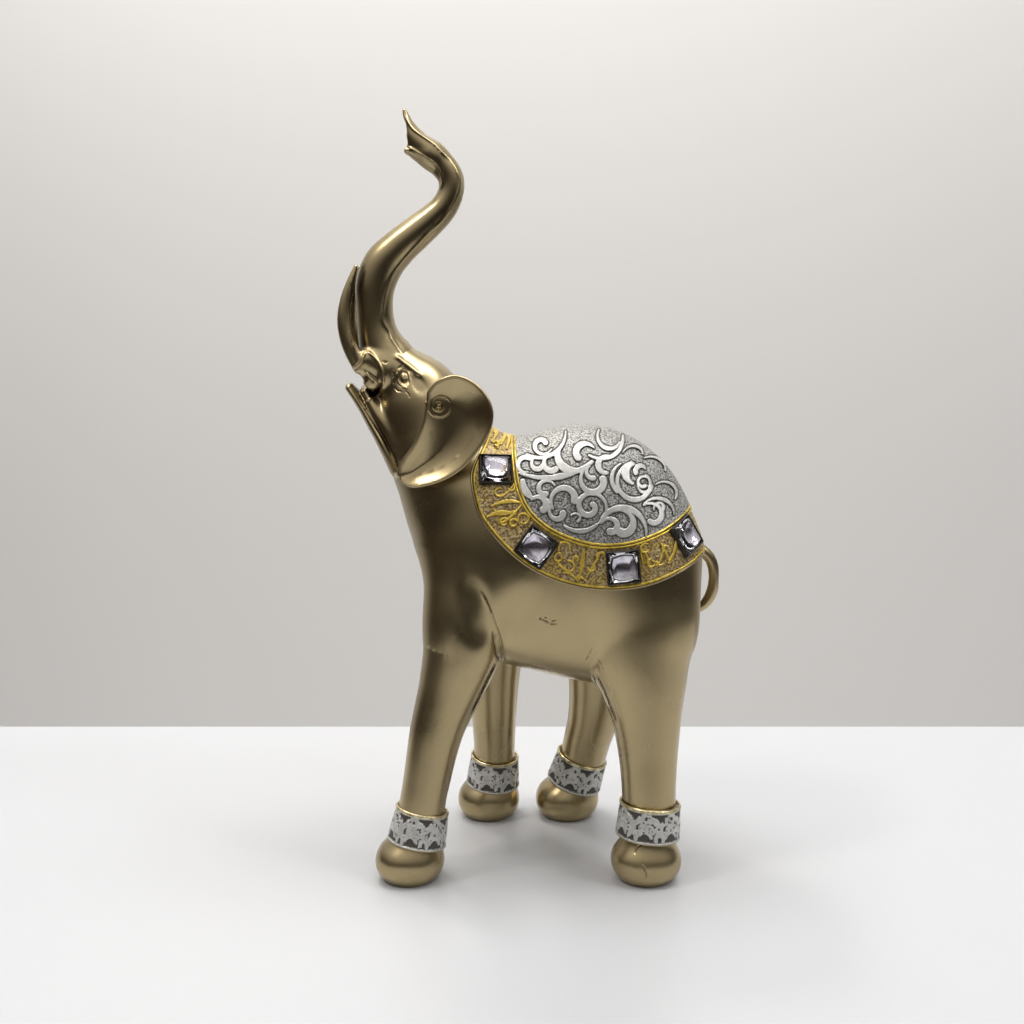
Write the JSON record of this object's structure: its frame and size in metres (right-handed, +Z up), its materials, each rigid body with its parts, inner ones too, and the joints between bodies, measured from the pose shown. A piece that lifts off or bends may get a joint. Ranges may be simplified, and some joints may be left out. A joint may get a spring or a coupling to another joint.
{
  "type": "elephant statue",
  "caption": "Standing elephant figure with a raised trunk in bronze-coloured paint, its back under a silver scrollwork cloth with a gold border set with square clear stones.",
  "frame": {"origin": "middle of the overall footprint, on the plane the four feet stand on", "axes": "+Z up, the elephant faces -X, its left side (the pictured one) is -Y"},
  "size_m": [0.1524, 0.0888, 0.3],
  "materials": {
    "bronze_paint": "cast resin in satin metallic bronze paint, with silver and gold painted relief",
    "clear_stone": "clear faceted stone with a faint lavender tint"
  },
  "bodies": {
    "root": {"elephant": "bronze_paint", "gem_left_1": "clear_stone", "gem_left_2": "clear_stone", "gem_left_3": "clear_stone", "gem_left_4": "clear_stone", "gem_right_1": "clear_stone", "gem_right_2": "clear_stone", "gem_right_3": "clear_stone", "gem_right_4": "clear_stone"}
  },
  "joints": []
}
